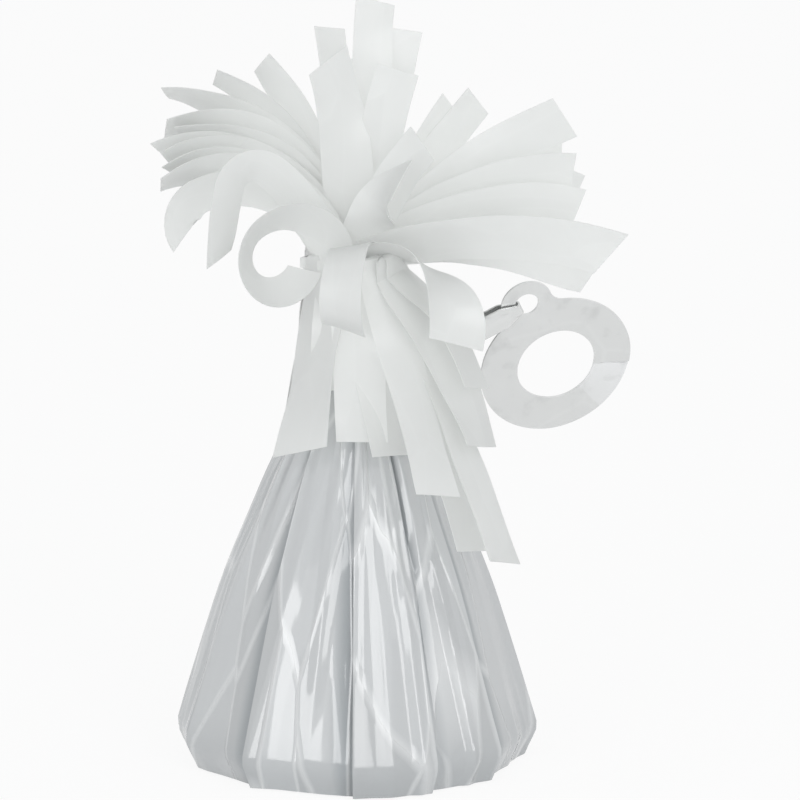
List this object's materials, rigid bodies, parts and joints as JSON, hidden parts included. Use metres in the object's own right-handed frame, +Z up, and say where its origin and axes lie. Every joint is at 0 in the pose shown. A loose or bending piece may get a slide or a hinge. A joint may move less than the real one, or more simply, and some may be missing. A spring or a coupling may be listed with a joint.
{
  "type": "balloon weight",
  "caption": "Film-wrapped cone-shaped balloon weight with a film fringe plume and collar at its neck and a ring tab on a folded film strap for the balloon ribbon.",
  "frame": {"origin": "middle of the flat foot, on the surface that the weight stands on", "axes": "+Z up along the cone, +X to the side where the ring tab hangs, -Y to the front"},
  "size_m": [0.0848, 0.0689, 0.1392],
  "materials": {
    "wrapper_film": "glossy white metallised film with sharp pleats",
    "fringe_film": "thin milky white film with a soft sheen",
    "silver_film": "stiff silver film with a satin metallic face",
    "cup_plastic": "thin moulded",
    "cast_plug": "cast cement",
    "base_card": "grey board",
    "tie_rubber": "elastic band"
  },
  "bodies": {
    "weight": {"ballast_cup": "cup_plastic", "ballast_fill": "cast_plug", "base_card": "base_card", "collar_1": "fringe_film", "collar_10": "fringe_film", "collar_11": "fringe_film", "collar_12": "fringe_film", "collar_13": "fringe_film", "collar_14": "fringe_film", "collar_15": "fringe_film", "collar_16": "fringe_film", "collar_2": "fringe_film", "collar_3": "fringe_film", "collar_4": "fringe_film", "collar_5": "fringe_film", "collar_6": "fringe_film", "collar_7": "fringe_film", "collar_8": "fringe_film", "collar_9": "fringe_film", "foil_wrapper": "wrapper_film", "fringe_band": "fringe_film", "neck_tie": "tie_rubber", "plume_back_1": "fringe_film", "plume_back_2": "fringe_film", "plume_back_3": "fringe_film", "plume_back_4": "fringe_film", "plume_front_1": "fringe_film", "plume_front_2": "fringe_film", "plume_front_3": "fringe_film", "plume_left_1": "fringe_film", "plume_left_10": "fringe_film", "plume_left_11": "fringe_film", "plume_left_12": "fringe_film", "plume_left_2": "fringe_film", "plume_left_3": "fringe_film", "plume_left_4": "fringe_film", "plume_left_5": "fringe_film", "plume_left_6": "fringe_film", "plume_left_7": "fringe_film", "plume_left_8": "fringe_film", "plume_left_9": "fringe_film", "plume_right_1": "fringe_film", "plume_right_10": "fringe_film", "plume_right_2": "fringe_film", "plume_right_3": "fringe_film", "plume_right_4": "fringe_film", "plume_right_5": "fringe_film", "plume_right_6": "fringe_film", "plume_right_7": "fringe_film", "plume_right_8": "fringe_film", "plume_right_9": "fringe_film", "plume_top_1": "fringe_film", "plume_top_2": "fringe_film", "plume_top_3": "fringe_film", "plume_top_4": "fringe_film", "plume_top_5": "fringe_film"},
    "strap": {"strap": "silver_film"},
    "tab": {"ring_tab": "silver_film"}
  },
  "joints": [
    {"name": "strap_flex", "type": "hinge", "parent": "weight", "child": "strap", "pos_m": [0.00834, 0.00029, 0.0768], "axis": [-0.3601, -0.4734, 0.8039], "range_deg": [-5, 35]},
    {"name": "ring_swing", "type": "hinge", "parent": "strap", "child": "tab", "pos_m": [0.03034, -0.00371, 0.0843], "axis": [0.2962, -0.8751, -0.3827], "range_deg": [-20, 50]}
  ]
}
